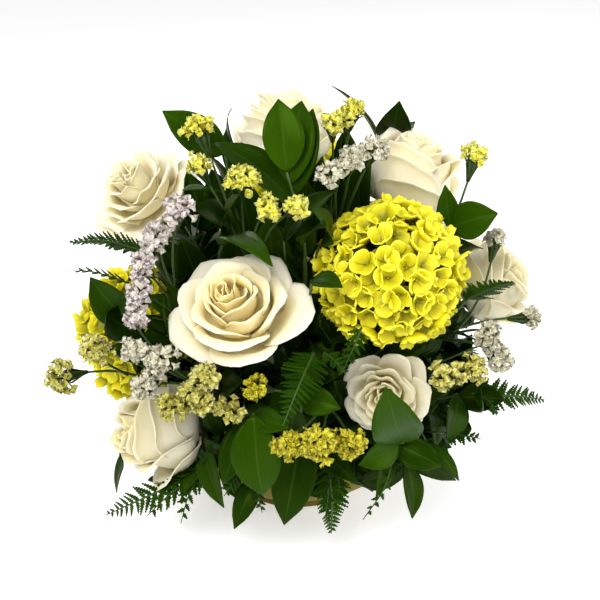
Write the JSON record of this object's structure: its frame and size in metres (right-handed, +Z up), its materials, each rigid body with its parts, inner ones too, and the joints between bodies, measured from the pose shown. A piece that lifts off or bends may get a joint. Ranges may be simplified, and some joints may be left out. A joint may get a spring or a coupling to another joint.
{
  "type": "floral table centerpiece",
  "caption": "Domed table arrangement of cream roses, chartreuse hydrangea, statice, ruscus leaves and fern, standing in foam in a low round glazed bowl.",
  "frame": {"origin": "centre of the bowl's flat underside", "axes": "+Z up out of the bowl, -Y the front with the large open rose, +X the viewer's right"},
  "size_m": [0.3288, 0.3207, 0.3012],
  "materials": {
    "glaze": "smooth olive-yellow glaze",
    "foam": "dull green open-cell floral foam",
    "stem_green": "matt living green stem",
    "cream_petal": "soft matt cream petal with a warm apricot centre",
    "chartreuse_petal": "soft bright yellow-green petal",
    "lemon_statice": "dry papery lemon yellow",
    "lavender_statice": "dry papery lavender white",
    "ruscus_leaf": "dark glossy leaf with fine parallel veins",
    "fern_leaf": "matt mid-green frond"
  },
  "bodies": {
    "root": {"bowl": "glaze", "foam": "foam", "fern_back_left": "fern_leaf", "fern_back_right": "fern_leaf", "fern_front": "fern_leaf", "fern_front_low": "fern_leaf", "fern_left": "fern_leaf", "fern_lower_left": "fern_leaf", "fern_right": "fern_leaf", "fern_upper_right": "fern_leaf", "hydrangea_head_back": "chartreuse_petal", "hydrangea_head_left": "chartreuse_petal", "hydrangea_head_right": "chartreuse_petal", "hydrangea_stem_back": "stem_green", "hydrangea_stem_left": "stem_green", "hydrangea_stem_right": "stem_green", "rose_bloom_back": "cream_petal", "rose_bloom_back_left": "cream_petal", "rose_bloom_back_right": "cream_petal", "rose_bloom_crown": "cream_petal", "rose_bloom_front": "cream_petal", "rose_bloom_lower_left": "cream_petal", "rose_bloom_lower_right": "cream_petal", "rose_bloom_right": "cream_petal", "rose_bloom_upper_left": "cream_petal", "rose_bloom_upper_right": "cream_petal", "rose_stem_back": "stem_green", "rose_stem_back_left": "stem_green", "rose_stem_back_right": "stem_green", "rose_stem_crown": "stem_green", "rose_stem_front": "stem_green", "rose_stem_lower_left": "stem_green", "rose_stem_lower_right": "stem_green", "rose_stem_right": "stem_green", "rose_stem_upper_left": "stem_green", "rose_stem_upper_right": "stem_green", "ruscus_back": "ruscus_leaf", "ruscus_crown_front": "ruscus_leaf", "ruscus_crown_left": "ruscus_leaf", "ruscus_crown_right": "ruscus_leaf", "ruscus_front": "ruscus_leaf", "ruscus_front_left": "ruscus_leaf", "ruscus_front_right": "ruscus_leaf", "ruscus_left": "ruscus_leaf", "ruscus_left_centre": "ruscus_leaf", "ruscus_right": "ruscus_leaf", "ruscus_right_low": "ruscus_leaf", "statice_white_back": "lavender_statice", "statice_white_crown": "lavender_statice", "statice_white_left": "lavender_statice", "statice_white_lower_left": "lavender_statice", "statice_white_right": "lavender_statice", "statice_yellow_back": "lemon_statice", "statice_yellow_crown": "lemon_statice", "statice_yellow_front": "lemon_statice", "statice_yellow_left": "lemon_statice", "statice_yellow_lower_left": "lemon_statice", "statice_yellow_lower_right": "lemon_statice", "statice_yellow_top_right": "lemon_statice", "statice_yellow_upper_left": "lemon_statice"}
  },
  "joints": []
}
